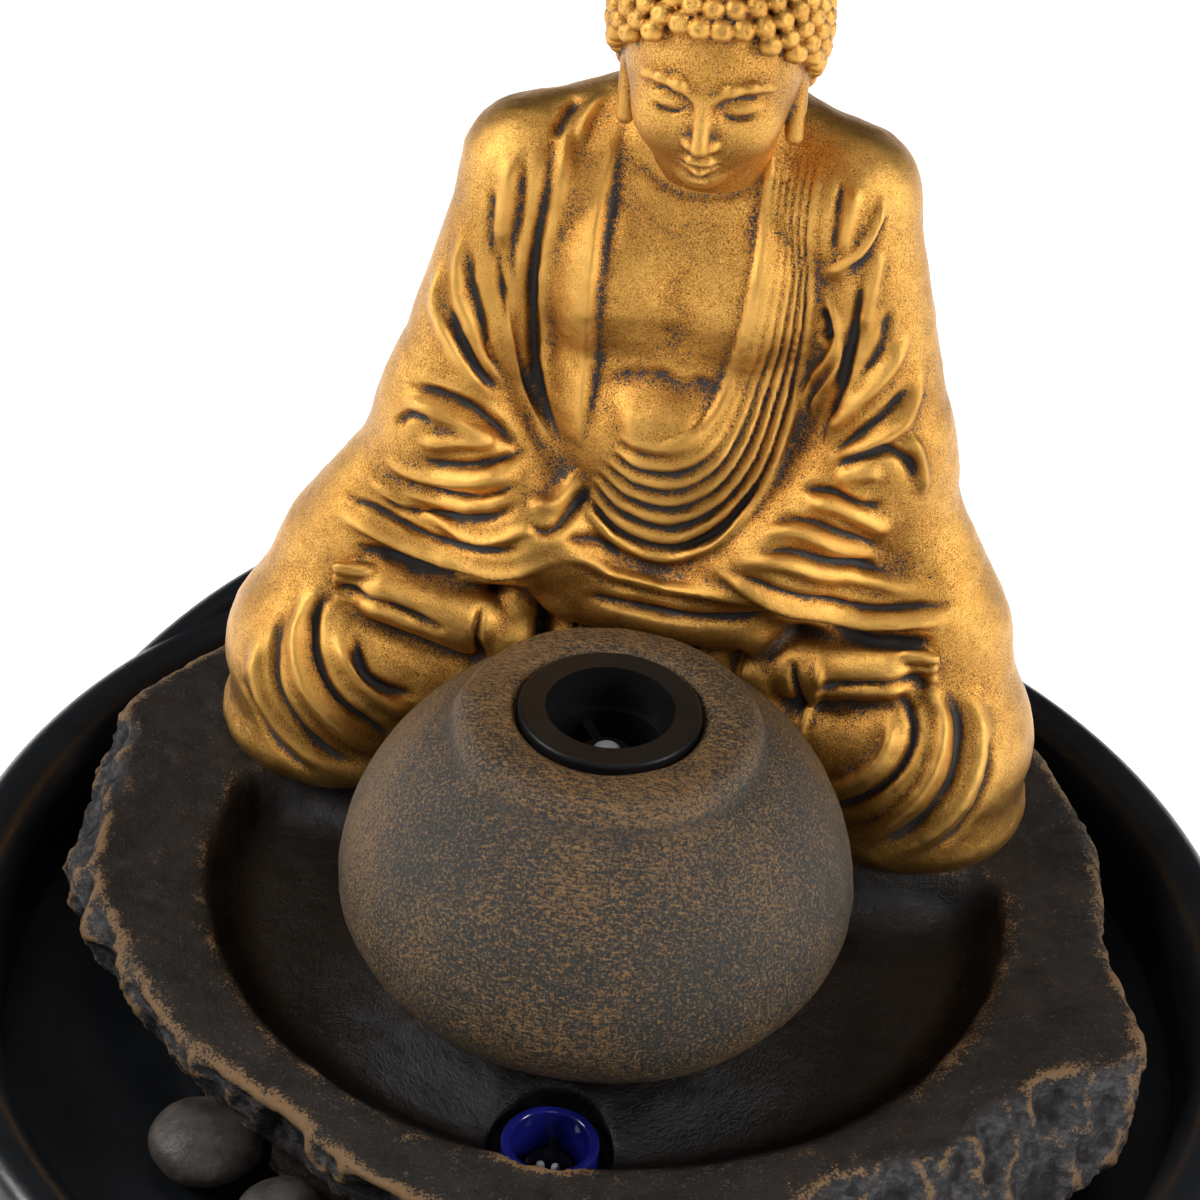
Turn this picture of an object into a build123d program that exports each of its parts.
"""Tabletop water fountain: a round bowl, a rock tray with a pot and a seated figure, and the pump below.

Millimetres, +Z up, +Y to the back. The origin is the centre of the bowl on the table.
"""

from build123d import *
from math import cos, radians, sin
import os

os.makedirs("parts", exist_ok=True)

# ---- driving dimensions ----------------------------------------------------------------------
RIM_R = 120.0  # the bowl's outer radius
RIM_Z = 62.0  # height of the rim's crest
BOWL_BASE_Z = 2.0
FLOOR_Z = 8.0  # the well's floor
FLOOR_R = 74.0
SHELF_Z = 40.0  # the ring shelf that carries the tray
SHELF_R = 62.0  # the shelf's inner edge, above the well
WALL_R = 107.5  # the inner wall above the shelf
FOLD_TUBE_R = 4.0  # round crest of the outer fold
FOLD_BOTTOM = 44.0
FOLD_WALL_Z = 57.0
# the outer fold's crest: angle, radius, height of the crest's middle
FOLD = ((160, 113.5, 55.5), (147, 117, 57.5), (136, 121.5, 59.5), (124, 125, 61), (111, 122.5, 59.5), (99, 113.5, 55.5))

PAD_H = 1.2
TRAY_BOTTOM = SHELF_Z + PAD_H
SLAB_Z = 53.0  # underside of the tray's overhanging slab
CHANNEL_Z = 58.0  # floor of the water channel
TRAY_Z = 66.0  # the tray's top
CHANNEL_R = 73.0
CHANNEL_Y = 9.0
UNDERSIDE_R = 64.5  # the hollow under the tray
UNDERSIDE_Z = 51.0
SKIRT_R = 84.0
SKIRT_Y = 16.0
SEAT_FRONT = 20.0  # front edge of the raised seat under the figure

POT_Y = -12.0  # the pot, hose and pump share this vertical axis
POT_R = 44.7
POT_BELLY_Z = 84.0
POT_LIP_Z = 119.5
POT_FOOT_Z = 64.0
POT_FOOT_R = 22.0
POT_FOOT_BORE = 13.0
POT_WALL = 7.0
MOUTH_R = 13.7  # the pot's mouth, under the ring's flange
FLANGE_R = 15.5
FLANGE_Z = 116.0
GASKET_Z = 115.2

BALL_BORE_R = 10.9
BALL_BORE_TOP = 120.5
BALL_BORE_BOTTOM = 112.5
NOZZLE_R = 4.6
NOZZLE_BORE = 3.2
CUP_R = 13.4
CUP_BORE = 9.5
HOSE_R = 6.2
HOSE_BORE = 4.6
HOSE_BOTTOM = 47.0
HOSE_TOP = 101.5  # also where the nozzle meets the seat's cup
CUP_FLOOR_Z = 104.0
NOZZLE_END = 94.0
LAMP_Z = 106.5
LENS_Z = 110.5
HOSE_HOLE_R = 11.5

SLEEVE_Y = -54.4
SLEEVE_R = 8.3
SLEEVE_BORE = 6.6
SLEEVE_TOP = 61.0
SLEEVE_BOTTOM = 49.5

ROTOR_Z = 29.0  # the pump's shaft, along Y
PUMP_HALF = 19.0
PUMP_LOW = 14.0
PUMP_TOP = 44.0
CHAMBER_Y = POT_Y  # middle of the impeller chamber
CHAMBER_R = 11.0
CHAMBER_HALF = 5.0
HOUSING_FRONT = CHAMBER_Y + CHAMBER_HALF
HOUSING_BACK = 34.0
HOUSING_WALL = 2.0
WELL_R = 8.2
WELL_END = 13.0
VOLUTE_FRONT = -22.0
COVER_FRONT = -32.0
SHAFT_R = 1.0
RUNNING_GAP = 0.05
SPIGOT_R = 4.52
SPIGOT_BORE = 3.2
SPIGOT_TOP = 54.0

LEAD_R = 1.1
LEAD_X = 8.5
LEAD_Z = 47.2

GROMMET_Z = 59.0
GROMMET_FRONT = 105.6  # the inner flange's inner face
GROMMET_BACK = 120.1
GROMMET_FLANGE = 1.6
GROMMET_BORE = 2.4


def polar(radius, degrees):
    """A point at this radius and angle on the plan."""
    return (radius * cos(radians(degrees)), radius * sin(radians(degrees)))


def save(builder, name):
    """Label the finished piece and write its STEP file."""
    builder.part.label = name
    export_step(builder.part, f"parts/{name}.step")


def limb(start, end, start_r, end_r):
    """A tapered round limb with round ends from start to end."""
    axis = Vector(*end) - Vector(*start)
    length = axis.length
    side = Plane(origin=start, x_dir=axis.cross(Vector(0.31, 0.17, 0.94)), z_dir=axis)
    profile = Plane(origin=start, x_dir=side.x_dir, z_dir=side.x_dir.cross(side.z_dir))
    with BuildPart(mode=Mode.PRIVATE) as piece:
        with BuildSketch(profile):
            with BuildLine():
                Line((0, -start_r), (0, length + end_r))
                Bezier((0, length + end_r), (end_r, length + end_r), (end_r, length))
                Line((end_r, length), (start_r, 0))
                Bezier((start_r, 0), (start_r, -start_r), (0, -start_r))
            make_face()
        revolve(axis=Axis(Vector(*start), axis), revolution_arc=360)
    return piece.part


def spheroid(centre, flat_r, height):
    """A round body, flat_r wide and height tall above and below its centre."""
    round_off = 0.5523
    with BuildPart(mode=Mode.PRIVATE) as piece:
        with BuildSketch(Plane(origin=centre, x_dir=(1, 0, 0), z_dir=(0, -1, 0))):
            with BuildLine():
                Line((0, -height), (0, height))
                Bezier((0, height), (flat_r * round_off, height), (flat_r, height * round_off), (flat_r, 0))
                Bezier((flat_r, 0), (flat_r, -height * round_off), (flat_r * round_off, -height), (0, -height))
            make_face()
        revolve(axis=Axis(centre, (0, 0, 1)))
    return piece.part


# ---- bowl --------------------------------------------------------------------------------------
with BuildPart() as bowl:
    with BuildSketch(Plane.XZ):
        with BuildLine():
            Line((0, BOWL_BASE_Z), (FLOOR_R + 4, BOWL_BASE_Z))
            Bezier((FLOOR_R + 4, BOWL_BASE_Z), (102, BOWL_BASE_Z), (115, 26), (RIM_R - 0.6, 50))
            Bezier((RIM_R - 0.6, 50), (RIM_R + 1, 57), (RIM_R - 1, RIM_Z), (RIM_R - 5, RIM_Z))
            Bezier((RIM_R - 5, RIM_Z), (WALL_R + 3, RIM_Z), (WALL_R, 58), (WALL_R, 51))
            Line((WALL_R, 51), (WALL_R - 1, SHELF_Z))
            Line((WALL_R - 1, SHELF_Z), (SHELF_R, SHELF_Z))
            Line((SHELF_R, SHELF_Z), (SHELF_R, FLOOR_Z))
            Line((SHELF_R, FLOOR_Z), (0, FLOOR_Z))
            Line((0, FLOOR_Z), (0, BOWL_BASE_Z))
        make_face()
    revolve(axis=Axis.Z)
    fillet([e for e in bowl.edges().filter_by(GeomType.CIRCLE)
            if abs(e.radius - SHELF_R) < 0.1 and abs(e.center().Z - SHELF_Z) < 0.1], radius=3)
    # the outer fold at the back left: a low wall with a round crest that leaves and rejoins the rim
    fold_crest = [(*polar(fold_r, angle), fold_z) for angle, fold_r, fold_z in FOLD]
    with BuildSketch(Plane.XY.offset(FOLD_BOTTOM)):
        with BuildLine():
            fold_edge = Spline(*[polar(fold_r + FOLD_TUBE_R - 1, angle) for angle, fold_r, fold_z in FOLD])
            Polyline(fold_edge @ 1, polar(WALL_R + 3, FOLD[-1][0]), polar(WALL_R + 3, 125),
                     polar(WALL_R + 3, FOLD[0][0]), fold_edge @ 0)
        make_face()
    extrude(amount=FOLD_WALL_Z - FOLD_BOTTOM)
    with BuildLine() as crest_line:
        Spline(*fold_crest)
    with BuildSketch(Plane(origin=fold_crest[0], z_dir=crest_line.line % 0)):
        Circle(FOLD_TUBE_R)
    sweep(path=crest_line.line)
    # the fold must not reach into the bowl
    with BuildSketch(Plane.XY.offset(SHELF_Z)):
        Circle(WALL_R - 0.2)
    extrude(amount=RIM_Z, mode=Mode.SUBTRACT)
    # seats for the feet and the notch for the cable
    with BuildSketch(Plane.XY.offset(BOWL_BASE_Z)):
        with PolarLocations(62, 4, start_angle=45):
            Circle(8)
    extrude(amount=1, mode=Mode.SUBTRACT)
    with BuildSketch(Plane.XZ):
        with Locations((0, 55)):
            Rectangle(9, 30, align=(Align.CENTER, Align.MIN))
    extrude(amount=-(RIM_R + 20), mode=Mode.SUBTRACT)
save(bowl, "bowl")

with BuildPart() as bowl_feet:
    with BuildSketch(Plane.XY):
        with PolarLocations(62, 4, start_angle=45):
            Circle(7.5)
    extrude(amount=BOWL_BASE_Z + 1)
    chamfer(bowl_feet.faces().filter_by(Axis.Z).group_by(Axis.Z)[0].edges(), length=0.6)
save(bowl_feet, "bowl_feet")

with BuildPart() as cable_grommet:
    with BuildSketch(Plane.XZ.offset(-GROMMET_FRONT)):
        with Locations((0, 55)):
            Rectangle(9, 8, align=(Align.CENTER, Align.MIN))
    extrude(amount=GROMMET_FRONT - GROMMET_BACK - GROMMET_FLANGE / 2)
    for flange_y in (GROMMET_FRONT, GROMMET_BACK):
        with BuildSketch(Plane.XZ.offset(-flange_y)):
            with Locations((0, GROMMET_Z)):
                Circle(6)
        extrude(amount=-GROMMET_FLANGE)
    with BuildSketch(Plane.XZ.offset(-100)):
        with Locations((0, GROMMET_Z)):
            Circle(GROMMET_BORE)
    extrude(amount=-30, mode=Mode.SUBTRACT)
save(cable_grommet, "cable_grommet")

# loose stones on the shelf: polar radius, angle, half width, half height
STONES = (
    (79.5, 221.5, 10.5, 5.8),
    (79.0, 237, 8.5, 5.6),
    (92.0, 259, 7.5, 5.5),
    (90.0, 275, 8.5, 6.1),
    (93.0, 291, 7.8, 5.6),
    (97.0, 306, 7.0, 5.0),
    (96.0, 246, 7.6, 5.4),
)
STONE_GAP = 0.7  # between the largest stone and the tray's skirt
with BuildPart() as pebbles:
    for stone_r, stone_angle, half_width, half_height in STONES:
        add(spheroid((*polar(stone_r, stone_angle), SHELF_Z + half_height), half_width, half_height))
save(pebbles, "pebbles")


# ---- tray --------------------------------------------------------------------------------------
TRAY_OUTLINE = (
    (99, -16), (93, -42), (66, -62), (36, -75), (0, -80), (-28, -74), (-52, -58), (-77, -37),
    (-96, -12), (-101, 12), (-97, 38), (-82, 62), (-52, 86), (-8, 101), (40, 93), (75, 68),
    (88, 40), (91, 12),
)
with BuildPart() as rock_tray:
    with BuildSketch(Plane.XY.offset(SLAB_Z)):
        with BuildLine():
            Spline(*TRAY_OUTLINE, periodic=True)
        make_face()
    extrude(amount=TRAY_Z - SLAB_Z)
    with BuildSketch(Plane.XY.offset(TRAY_BOTTOM)):
        with Locations((2, SKIRT_Y)):
            Circle(SKIRT_R)
    extrude(amount=SLAB_Z - TRAY_BOTTOM)
    # a scallop in the skirt for the largest stone
    with BuildSketch(Plane.XY.offset(TRAY_BOTTOM)):
        with Locations(polar(*STONES[0][:2])):
            Circle(STONES[0][2] + STONE_GAP)
    extrude(amount=SLAB_Z - TRAY_BOTTOM, mode=Mode.SUBTRACT)
    # the water channel, which stops at the seat behind the pot
    with BuildPart(mode=Mode.PRIVATE) as channel:
        with BuildSketch(Plane.XZ.offset(-CHANNEL_Y)):
            with BuildLine():
                Polyline((0, CHANNEL_Z), (CHANNEL_R - 7, CHANNEL_Z), (CHANNEL_R, TRAY_Z),
                         (CHANNEL_R, TRAY_Z + 1), (0, TRAY_Z + 1), close=True)
            make_face()
        revolve(axis=Axis((0, CHANNEL_Y, 0), (0, 0, 1)))
        with BuildSketch(Plane.XY.offset(CHANNEL_Z)):
            with Locations((0, SEAT_FRONT)):
                Rectangle(200, 100, align=(Align.CENTER, Align.MIN))
        extrude(amount=20, mode=Mode.SUBTRACT)
    add(channel.part, mode=Mode.SUBTRACT)
    # the mound that carries the pot
    with BuildSketch(Plane.XZ.offset(-POT_Y)):
        with BuildLine():
            Polyline((30, POT_FOOT_Z), (0, POT_FOOT_Z), (0, CHANNEL_Z - 1), (42, CHANNEL_Z - 1), (42, CHANNEL_Z))
            Bezier((42, CHANNEL_Z), (36, CHANNEL_Z + 0.5), (33, POT_FOOT_Z - 2), (30, POT_FOOT_Z))
        make_face()
    revolve(axis=Axis((0, POT_Y, 0), (0, 0, 1)))
    # the hollow underneath, over the pump's well
    with BuildSketch(Plane.XY.offset(TRAY_BOTTOM)):
        Circle(UNDERSIDE_R)
    extrude(amount=UNDERSIDE_Z - TRAY_BOTTOM, mode=Mode.SUBTRACT)
    # the holes for the hose and the drain sleeve, and the sleeve's recess
    with BuildSketch(Plane.XY.offset(UNDERSIDE_Z)):
        with Locations((0, POT_Y)):
            Circle(HOSE_HOLE_R)
        with Locations((0, SLEEVE_Y)):
            Circle(SLEEVE_R)
    extrude(amount=TRAY_Z - UNDERSIDE_Z, mode=Mode.SUBTRACT)
    with BuildSketch(Plane.XY.offset(CHANNEL_Z - 0.8)):
        with Locations((0, SLEEVE_Y)):
            Circle(SLEEVE_R + 2.2)
    extrude(amount=4, mode=Mode.SUBTRACT)
save(rock_tray, "rock_tray")

with BuildPart() as tray_pads:
    with BuildSketch(Plane.XY.offset(SHELF_Z)):
        for pad_r, pad_angle in ((68, 300), (68, 240), (76, 15), (76, 165), (88, 90)):
            with Locations(polar(pad_r, pad_angle)):
                Circle(3)
    extrude(amount=PAD_H)
save(tray_pads, "tray_pads")


# ---- pot, ball seat and hose -----------------------------------------------------------------------
pot_plane = Plane.XZ.offset(-POT_Y)
pot_axis = Axis((0, POT_Y, 0), (0, 0, 1))
with BuildPart() as pot:
    with BuildSketch(pot_plane):
        with BuildLine():
            Line((POT_FOOT_BORE, POT_FOOT_Z), (POT_FOOT_R, POT_FOOT_Z))
            Bezier((POT_FOOT_R, POT_FOOT_Z), (27, 64.5), (POT_R, 75.5), (POT_R, POT_BELLY_Z))
            Bezier((POT_R, POT_BELLY_Z), (POT_R, 97), (36, 111), (25, 118))
            Bezier((25, 118), (23, POT_LIP_Z + 0.5), (20, POT_LIP_Z + 0.6), (FLANGE_R + 0.2, POT_LIP_Z))
            Line((FLANGE_R + 0.2, POT_LIP_Z), (FLANGE_R + 0.2, GASKET_Z))
            Line((FLANGE_R + 0.2, GASKET_Z), (MOUTH_R, GASKET_Z))
            Line((MOUTH_R, GASKET_Z), (MOUTH_R, 108))
            Bezier((MOUTH_R, 108), (30, 104), (POT_R - POT_WALL, 96), (POT_R - POT_WALL, 86))
            Bezier((POT_R - POT_WALL, 86), (POT_R - POT_WALL, 80), (22, 72), (POT_FOOT_BORE, POT_FOOT_Z))
        make_face()
    revolve(axis=pot_axis)
save(pot, "pot")

with BuildPart() as ball_seat:
    with BuildSketch(pot_plane):
        with BuildLine():
            Polyline((NOZZLE_R, NOZZLE_END), (NOZZLE_R, HOSE_TOP), (CUP_R, HOSE_TOP), (CUP_R, FLANGE_Z), (FLANGE_R, FLANGE_Z),
                     (FLANGE_R, BALL_BORE_TOP), (BALL_BORE_R, BALL_BORE_TOP), (BALL_BORE_R, BALL_BORE_BOTTOM),
                     (CUP_BORE, BALL_BORE_BOTTOM), (CUP_BORE, CUP_FLOOR_Z), (NOZZLE_BORE, CUP_FLOOR_Z),
                     (NOZZLE_BORE, NOZZLE_END), close=True)
        make_face()
    revolve(axis=pot_axis)
    fillet(ball_seat.edges().filter_by(GeomType.CIRCLE).group_by(Axis.Z)[-1].sort_by(SortBy.RADIUS)[-1],
           radius=0.8)
save(ball_seat, "ball_seat")

with BuildPart() as seat_gasket:
    with BuildSketch(Plane.XY.offset(GASKET_Z)):
        with Locations((0, POT_Y)):
            Circle(FLANGE_R - 0.1)
            Circle(MOUTH_R, mode=Mode.SUBTRACT)
    extrude(amount=FLANGE_Z - GASKET_Z)
save(seat_gasket, "seat_gasket")

with BuildPart() as seat_lamp:
    with BuildSketch(Plane.XY.offset(LAMP_Z)):
        with Locations((0, POT_Y)):
            Circle(4.5)
            with PolarLocations(0, 3, start_angle=0):
                Rectangle(CUP_BORE - 0.1, 1.8, align=(Align.MIN, Align.CENTER))
    extrude(amount=LENS_Z - LAMP_Z)
save(seat_lamp, "seat_lamp")

LENS_R = 2.6
LENS_TOP = LENS_Z + 1.7
with BuildPart() as seat_lens:
    with BuildSketch(pot_plane):
        with BuildLine():
            Polyline((0, LENS_TOP), (0, LENS_Z), (LENS_R, LENS_Z))
            Bezier((LENS_R, LENS_Z), (LENS_R, LENS_TOP - 0.2), (LENS_R - 1.2, LENS_TOP), (0, LENS_TOP))
        make_face()
    revolve(axis=pot_axis)
save(seat_lens, "seat_lens")

with BuildPart() as supply_hose:
    with BuildSketch(Plane.XY.offset(HOSE_BOTTOM)):
        with Locations((0, POT_Y)):
            Circle(HOSE_R)
            Circle(HOSE_BORE, mode=Mode.SUBTRACT)
    extrude(amount=HOSE_TOP - HOSE_BOTTOM)
save(supply_hose, "supply_hose")

# ---- drain sleeve and its lamp ----------------------------------------------------------------------
with BuildPart() as drain_sleeve:
    with BuildSketch(Plane.XY.offset(SLEEVE_BOTTOM)):
        with Locations((0, SLEEVE_Y)):
            Circle(SLEEVE_R)
            Circle(SLEEVE_BORE, mode=Mode.SUBTRACT)
    extrude(amount=SLEEVE_TOP - SLEEVE_BOTTOM)
    fillet(drain_sleeve.faces().sort_by(Axis.Z)[-1].edges(), radius=0.7)
    with BuildSketch(Plane.XY.offset(SLEEVE_BOTTOM)):
        with Locations((0, SLEEVE_Y)):
            Circle(SLEEVE_R + 1.6)
            Circle(SLEEVE_R - 0.5, mode=Mode.SUBTRACT)
    extrude(amount=0.8)
save(drain_sleeve, "drain_sleeve")

with BuildPart() as sleeve_gasket:
    with BuildSketch(Plane.XY.offset(SLEEVE_BOTTOM + 0.8)):
        with Locations((0, SLEEVE_Y)):
            Circle(SLEEVE_R + 1.5)
            Circle(SLEEVE_R, mode=Mode.SUBTRACT)
    extrude(amount=UNDERSIDE_Z - SLEEVE_BOTTOM - 0.8)
save(sleeve_gasket, "sleeve_gasket")

FRONT_LAMP_Z = 50.0
FRONT_LAMP_TOP = 55.0
with BuildPart() as front_lamp:
    with BuildSketch(Plane.XY.offset(FRONT_LAMP_Z)):
        with Locations((0, SLEEVE_Y)):
            Circle(4)
            with PolarLocations(0, 3, start_angle=90):
                Rectangle(SLEEVE_BORE - 0.05, 1.6, align=(Align.MIN, Align.CENTER))
    extrude(amount=FRONT_LAMP_TOP - FRONT_LAMP_Z)
save(front_lamp, "front_lamp")

with BuildPart() as front_lamp_leds:
    for led_x in (-1.3, 1.3):
        with BuildSketch(Plane.XZ.offset(-(SLEEVE_Y - 0.6))):
            with BuildLine():
                Polyline((led_x, FRONT_LAMP_TOP + 1.2), (led_x, FRONT_LAMP_TOP), (led_x + 0.8, FRONT_LAMP_TOP))
                Bezier((led_x + 0.8, FRONT_LAMP_TOP), (led_x + 0.8, FRONT_LAMP_TOP + 1.2),
                       (led_x, FRONT_LAMP_TOP + 1.2))
            make_face()
        revolve(axis=Axis((led_x, SLEEVE_Y - 0.6, 0), (0, 0, 1)))
save(front_lamp_leds, "front_lamp_leds")


# ---- inner wires of the lamps ------------------------------------------------------------------------
def wire(points, radius):
    """A round wire along the points, with an arc at each corner as large as its runs allow."""
    corners = [Vector(*p) for p in points]
    with BuildLine(mode=Mode.PRIVATE) as path:
        here = corners[0]
        for before, corner, after in zip(corners, corners[1:], corners[2:]):
            back, ahead = (before - corner), (after - corner)
            reach = 0.45 * min(back.length, ahead.length)
            start = corner + back.normalized() * reach
            end = corner + ahead.normalized() * reach
            Line(here, start)
            TangentArc(start, end, tangent=corner - before)
            here = end
        Line(here, corners[-1])
    with BuildPart(mode=Mode.PRIVATE) as piece:
        with BuildSketch(Plane(origin=corners[0], z_dir=corners[1] - corners[0])):
            Circle(radius)
        sweep(path=path.wires()[0])
    return piece.part


COUPLING_X = -37.0  # the coupling's inner end, under the tray
COUPLING_Y = -30.0
COUPLING_R = 3.2
COUPLING_BODY = 9.0
SOCKET_R = 2.2
SOCKET_DEPTH = 7.0
LAMP_LEAD_ROUTE = (
    (LEAD_X, POT_Y, HOSE_TOP),
    (LEAD_X, POT_Y, LEAD_Z),
    (LEAD_X, -44, LEAD_Z),
    (2, SLEEVE_Y, LEAD_Z - 1),
    (2, SLEEVE_Y, FRONT_LAMP_Z),
)
LAMP_TAIL_ROUTE = (
    (-2, SLEEVE_Y, FRONT_LAMP_Z),
    (-2, SLEEVE_Y, LEAD_Z - 1),
    (-14, -36, LEAD_Z),
    (-26, COUPLING_Y, LEAD_Z),
    (COUPLING_X, COUPLING_Y, LEAD_Z),
)
with BuildPart() as lamp_lead:
    add(wire(LAMP_LEAD_ROUTE, LEAD_R))
save(lamp_lead, "lamp_lead")

with BuildPart() as lamp_tail:
    add(wire(LAMP_TAIL_ROUTE, LEAD_R))
save(lamp_tail, "lamp_tail")

with BuildPart() as lead_coupling:
    with BuildSketch(Plane.YZ.offset(COUPLING_X)):
        with Locations((COUPLING_Y, LEAD_Z)):
            Circle(COUPLING_R)
    extrude(amount=-COUPLING_BODY)
    with BuildSketch(Plane.YZ.offset(COUPLING_X - COUPLING_BODY)):
        with Locations((COUPLING_Y, LEAD_Z)):
            Circle(COUPLING_R + 0.4)
            Circle(SOCKET_R, mode=Mode.SUBTRACT)
    extrude(amount=-SOCKET_DEPTH)
save(lead_coupling, "lead_coupling")

with BuildPart() as lead_clips:
    for clip_y in (-29, -36):
        with BuildSketch(Plane.XZ.offset(-clip_y)):
            with Locations((LEAD_X, LEAD_Z - 1.9)):
                Rectangle(5, UNDERSIDE_Z - LEAD_Z + 1.9, align=(Align.CENTER, Align.MIN))
            with Locations((LEAD_X, LEAD_Z)):
                Circle(LEAD_R, mode=Mode.SUBTRACT)
        extrude(amount=1.5, both=True)
    with BuildSketch(Plane.YZ.offset(COUPLING_X - 4)):
        with Locations((COUPLING_Y, LEAD_Z - COUPLING_R - 1)):
            Rectangle(9, UNDERSIDE_Z - LEAD_Z + COUPLING_R + 1, align=(Align.CENTER, Align.MIN))
        with Locations((COUPLING_Y, LEAD_Z)):
            Circle(COUPLING_R, mode=Mode.SUBTRACT)
    extrude(amount=2, both=True)
save(lead_clips, "lead_clips")


# ---- figure --------------------------------------------------------------------------------------
FIGURE_X = 1.0
# level, half width, half depth, middle Y
TORSO = (
    (84, 52, 25, 60), (98, 48, 25, 59), (112, 42, 25, 58), (126, 39, 24, 57), (140, 38, 23, 56),
    (165, 37, 20, 56), (184, 37, 18, 58), (190, 32, 16, 58), (196, 22, 12, 57), (200, 13, 10, 56),
)
with BuildPart() as figure:
    with BuildSketch(Plane.XY.offset(TRAY_Z)):
        with Locations((-2, 60)):
            Ellipse(68, 25)
    extrude(amount=20)
    add(limb((-20, 62, 84), (-59, 45, 86), 18, 20))
    add(limb((22, 62, 84), (55, 40, 86), 18, 20))
    add(limb((-58, 44, 82), (12, 53, 86), 16, 15))
    add(limb((54, 41, 82), (-10, 53, 86), 16, 15))
    for level, half_width, half_depth, middle_y in TORSO:
        with BuildSketch(Plane.XY.offset(level)):
            with Locations((FIGURE_X, middle_y)):
                Ellipse(half_width, half_depth)
    loft(ruled=True)
    for side in (-1, 1):
        add(limb((FIGURE_X + side * 32, 60, 180), (FIGURE_X + side * 42, 52, 138), 14, 14))
        add(limb((FIGURE_X + side * 42, 52, 136), (FIGURE_X + side * 12, 44, 112), 14, 10))
    # neck, head and the hair's knot
    add(limb((1, 54, 194), (3, 44, 208), 11, 12))
    add(limb((3.5, 36, 211), (3.5, 38, 223), 14, 18.5))
    add(limb((3.5, 37, 236), (3.5, 37, 244), 12, 11))
    # flat base on the seat
    with BuildSketch(Plane.XY.offset(TRAY_Z)):
        Rectangle(300, 300)
    extrude(amount=-40, mode=Mode.SUBTRACT)
save(figure, "figure")


# ---- pump ------------------------------------------------------------------------------------------
# The shaft runs along Y at ROTOR_Z. Blocks are drawn on XZ planes and extruded towards the back.
def block(front, back, half_x=PUMP_HALF, low=PUMP_LOW, high=PUMP_TOP):
    """A block between two Y values."""
    with BuildPart(mode=Mode.PRIVATE) as piece:
        with BuildSketch(Plane.XZ.offset(-front)):
            with Locations((0, low)):
                Rectangle(2 * half_x, high - low, align=(Align.CENTER, Align.MIN))
        extrude(amount=front - back)
    return piece.part


def barrel(front, back, radius, bore=0.0):
    """A cylinder or ring on the shaft line between two Y values."""
    with BuildPart(mode=Mode.PRIVATE) as piece:
        with BuildSketch(Plane.XZ.offset(-front)):
            with Locations((0, ROTOR_Z)):
                Circle(radius)
                if bore:
                    Circle(bore, mode=Mode.SUBTRACT)
        extrude(amount=front - back)
    return piece.part


CAVITY_HALF = PUMP_HALF - HOUSING_WALL
CAVITY_LOW = PUMP_LOW + HOUSING_WALL
CAVITY_TOP = PUMP_TOP - HOUSING_WALL
BACK_COVER_Y = HOUSING_BACK - HOUSING_WALL
BUSH_R = 2.6

with BuildPart() as pump_housing:
    add(block(HOUSING_FRONT, HOUSING_BACK))
    fillet(pump_housing.edges().filter_by(Axis.Y), radius=3)
    add(block(HOUSING_FRONT + HOUSING_WALL, HOUSING_BACK, CAVITY_HALF, CAVITY_LOW, CAVITY_TOP),
        mode=Mode.SUBTRACT)
    add(barrel(HOUSING_FRONT, WELL_END + 3.5, WELL_R + 1.8))
    add(barrel(HOUSING_FRONT, WELL_END, WELL_R), mode=Mode.SUBTRACT)
    add(barrel(WELL_END, WELL_END + 2, BUSH_R), mode=Mode.SUBTRACT)
    # feet that hold the suction cups
    with BuildSketch(Plane.XY.offset(PUMP_LOW)):
        with Locations((0, 13)):  # the suction cups' middle
            with GridLocations(26, 32, 2, 2):
                Circle(3.2)
    extrude(amount=-1.5)
save(pump_housing, "pump_housing")

with BuildPart() as stator_core:
    for leg_side in (-1, 1):
        with BuildSketch(Plane.XZ.offset(-(HOUSING_FRONT + HOUSING_WALL))):
            with Locations((leg_side * 13.3, ROTOR_Z)):
                Rectangle(5, 14)
        extrude(amount=-28)
    add(block(22, 27, 15.8, ROTOR_Z - 7, ROTOR_Z + 7))
save(stator_core, "stator_core")

with BuildPart() as stator_coil:
    add(block(18, 31, 8.5, ROTOR_Z - 11, ROTOR_Z + 11))
    fillet(stator_coil.edges().filter_by(Axis.X), radius=2.5)
    add(block(22, 27, 9, ROTOR_Z - 7, ROTOR_Z + 7), mode=Mode.SUBTRACT)
save(stator_coil, "stator_coil")

with BuildPart() as pump_back_cover:
    add(block(BACK_COVER_Y, HOUSING_BACK, CAVITY_HALF, CAVITY_LOW, CAVITY_TOP))
    with BuildSketch(Plane.XZ.offset(-HOUSING_BACK)):
        with Locations((10, 22)):
            Circle(4)
    extrude(amount=-5)
    with BuildSketch(Plane.XZ.offset(-BACK_COVER_Y)):
        with Locations((10, 22)):
            Circle(GROMMET_BORE)
    extrude(amount=-8, mode=Mode.SUBTRACT)
save(pump_back_cover, "pump_back_cover")

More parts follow.
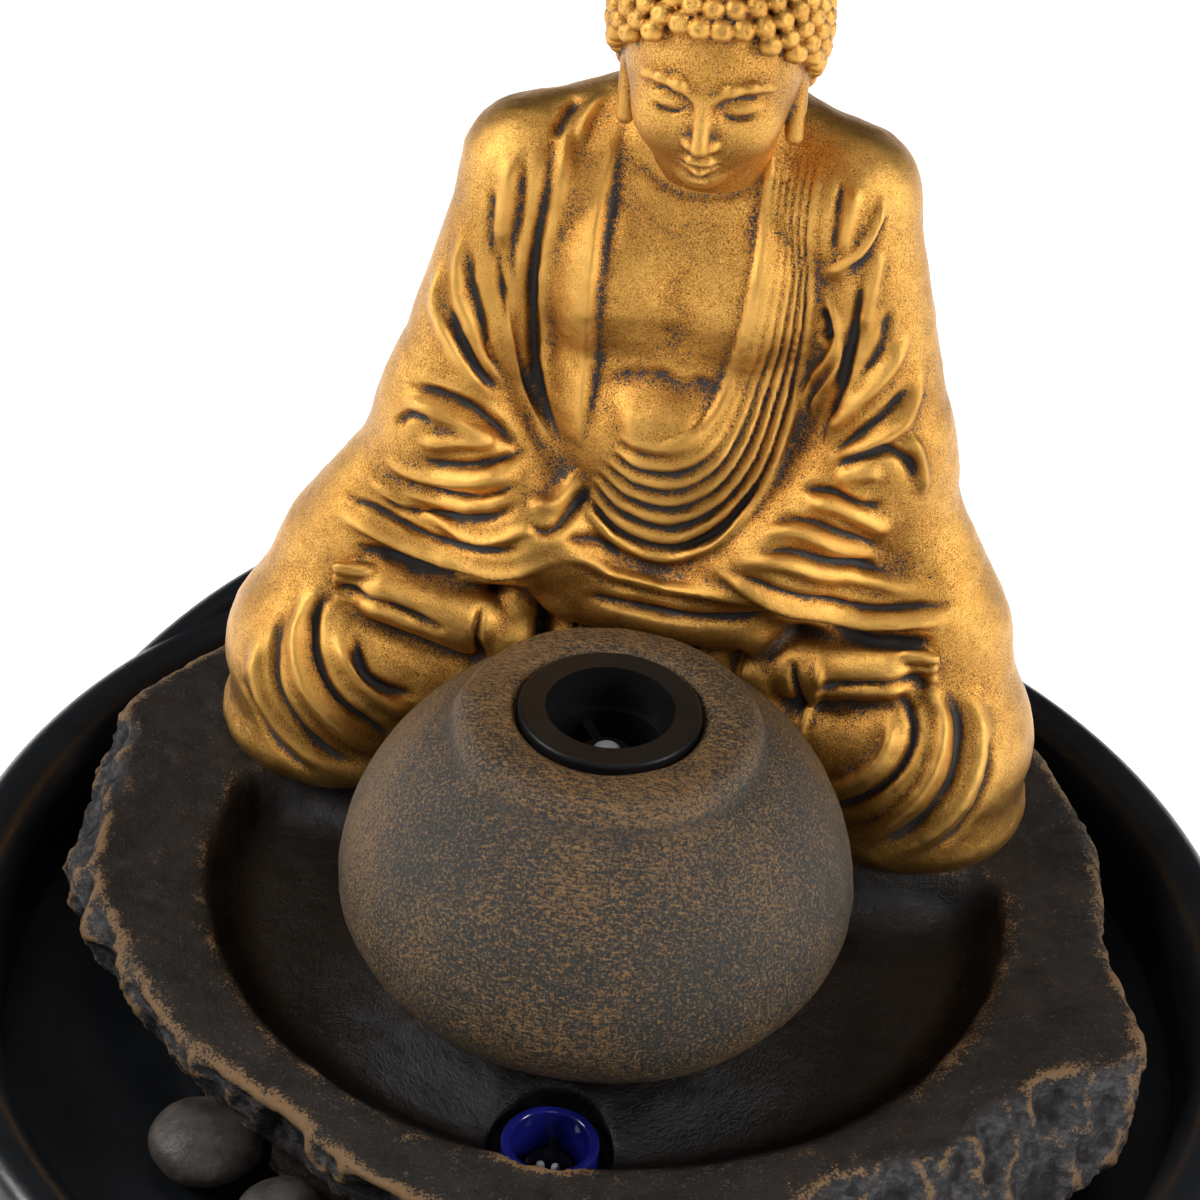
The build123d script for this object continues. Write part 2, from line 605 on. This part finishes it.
EYE_R = 6.0
with BuildPart() as volute_cover:
    add(block(VOLUTE_FRONT, HOUSING_FRONT))
    fillet(volute_cover.edges().filter_by(Axis.Y), radius=3)
    add(barrel(CHAMBER_Y - CHAMBER_HALF, HOUSING_FRONT, CHAMBER_R), mode=Mode.SUBTRACT)
    add(barrel(VOLUTE_FRONT, CHAMBER_Y - CHAMBER_HALF, EYE_R), mode=Mode.SUBTRACT)
    # the seal's groove round the chamber
    add(barrel(HOUSING_FRONT - 1, HOUSING_FRONT, CHAMBER_R + 2.4, CHAMBER_R + 1), mode=Mode.SUBTRACT)
    # spider that holds the front bush in the eye
    with BuildSketch(Plane.XZ.offset(-(VOLUTE_FRONT + 1))):
        with Locations((0, ROTOR_Z)):
            with PolarLocations(0, 3, start_angle=90):
                Rectangle(EYE_R + 0.5, 1.4, align=(Align.MIN, Align.CENTER))
            Circle(3.8)
            Circle(BUSH_R, mode=Mode.SUBTRACT)
    extrude(amount=-3)
    # outlet spigot
    with BuildSketch(Plane.XY.offset(PUMP_TOP - 1)):
        with Locations((0, CHAMBER_Y)):
            Circle(SPIGOT_R)
    extrude(amount=SPIGOT_TOP - PUMP_TOP + 1)
    with BuildSketch(Plane.XY.offset(ROTOR_Z + 9)):
        with Locations((0, CHAMBER_Y)):
            Circle(SPIGOT_BORE)
    extrude(amount=40, mode=Mode.SUBTRACT)
save(volute_cover, "volute_cover")

with BuildPart() as chamber_seal:
    add(barrel(HOUSING_FRONT - 1, HOUSING_FRONT, CHAMBER_R + 2.4, CHAMBER_R + 1))
save(chamber_seal, "chamber_seal")

with BuildPart() as pump_shaft:
    add(barrel(VOLUTE_FRONT + 1.5, WELL_END + 1.8, SHAFT_R))
save(pump_shaft, "pump_shaft")

with BuildPart() as shaft_bushes:
    add(barrel(VOLUTE_FRONT + 1, VOLUTE_FRONT + 4, BUSH_R, SHAFT_R))
    add(barrel(WELL_END - 1, WELL_END + 2, BUSH_R, SHAFT_R))
save(shaft_bushes, "shaft_bushes")

MAGNET_FRONT = HOUSING_FRONT + 1.5
with BuildPart() as rotor_magnet:
    add(barrel(MAGNET_FRONT, WELL_END - 1.8, WELL_R - 0.7, SHAFT_R + RUNNING_GAP))
save(rotor_magnet, "rotor_magnet")

with BuildPart() as impeller:
    add(barrel(CHAMBER_Y + 1.4, CHAMBER_Y + 3, CHAMBER_R - 1.4, SHAFT_R + RUNNING_GAP))
    add(barrel(CHAMBER_Y - 3, CHAMBER_Y + 2, 3, SHAFT_R + RUNNING_GAP))
    add(barrel(CHAMBER_Y + 3, MAGNET_FRONT, 4, SHAFT_R + RUNNING_GAP))
    with BuildSketch(Plane.XZ.offset(-(CHAMBER_Y - 3))):
        with Locations((0, ROTOR_Z)):
            with PolarLocations(2.5, 6):
                Rectangle(CHAMBER_R - 4.2, 1.3, align=(Align.MIN, Align.CENTER))
    extrude(amount=-4.6)
save(impeller, "impeller")

# ports of the intake cover and the regulator: arcs of one pitch circle
PORT_R = 8.0
PORT_ARC = 34
STUD_R = 2.0
REGULATOR_FRONT = COVER_FRONT - 2.3


def ports(mode):
    """Four curved ports about the shaft line, on the XZ sketch that is being drawn."""
    for port_angle in (0, 90, 180, 270):
        with BuildLine(mode=Mode.PRIVATE) as port:
            CenterArc((0, ROTOR_Z), PORT_R, port_angle - PORT_ARC / 2, PORT_ARC)
        SlotArc(arc=port.edges()[0], height=4.4, mode=mode)


with BuildPart() as intake_cover:
    add(block(COVER_FRONT, VOLUTE_FRONT))
    fillet(intake_cover.edges().filter_by(Axis.Y), radius=3)
    add(block(COVER_FRONT + 2, VOLUTE_FRONT, PUMP_HALF - 2, PUMP_LOW + 2, PUMP_TOP - 2), mode=Mode.SUBTRACT)
    with BuildSketch(Plane.XZ.offset(-COVER_FRONT)):
        ports(Mode.ADD)
    extrude(amount=-2, mode=Mode.SUBTRACT)
    # stud with a head that keeps the regulator
    add(barrel(REGULATOR_FRONT - 2, COVER_FRONT, STUD_R))
    add(barrel(REGULATOR_FRONT - 2, REGULATOR_FRONT - 0.3, STUD_R + 1.4))
    # grille slots in the sides
    with BuildSketch(Plane.YZ):
        with Locations(((COVER_FRONT + VOLUTE_FRONT) / 2, ROTOR_Z + 2)):
            with GridLocations(3.2, 1, 2, 1):
                SlotOverall(20, 1.6, rotation=90)
    extrude(amount=PUMP_HALF + 1, both=True, mode=Mode.SUBTRACT)
save(intake_cover, "intake_cover")

with BuildPart() as flow_regulator:
    with BuildSketch(Plane.XZ.offset(-REGULATOR_FRONT)):
        with Locations((0, ROTOR_Z)):
            Circle(12)
            Circle(STUD_R + RUNNING_GAP, mode=Mode.SUBTRACT)
        ports(Mode.SUBTRACT)
    extrude(amount=-2)
    # finger tab
    with BuildSketch(Plane.XZ.offset(-(REGULATOR_FRONT - 2.5))):
        with Locations((7.6, ROTOR_Z + 7.6)):
            Rectangle(5, 2.2, rotation=-45)
    extrude(amount=-3)
save(flow_regulator, "flow_regulator")

CUP_Y = 13.0
with BuildPart() as one_cup:
    with BuildSketch(Plane.XZ.offset(-CUP_Y)):
        with BuildLine():
            Polyline((0, PUMP_LOW - 1.5), (2.6, PUMP_LOW - 1.5), (2.6, 11), (6.5, FLOOR_Z + 0.6),
                     (6.5, FLOOR_Z), (5, FLOOR_Z), (0, FLOOR_Z + 1.4), close=True)
        make_face()
    revolve(axis=Axis((0, CUP_Y, 0), (0, 0, 1)))
with BuildPart() as suction_cups:
    with Locations((-13, -16, 0), (13, -16, 0), (-13, 16, 0), (13, 16, 0)):
        add(one_cup.part)
save(suction_cups, "suction_cups")
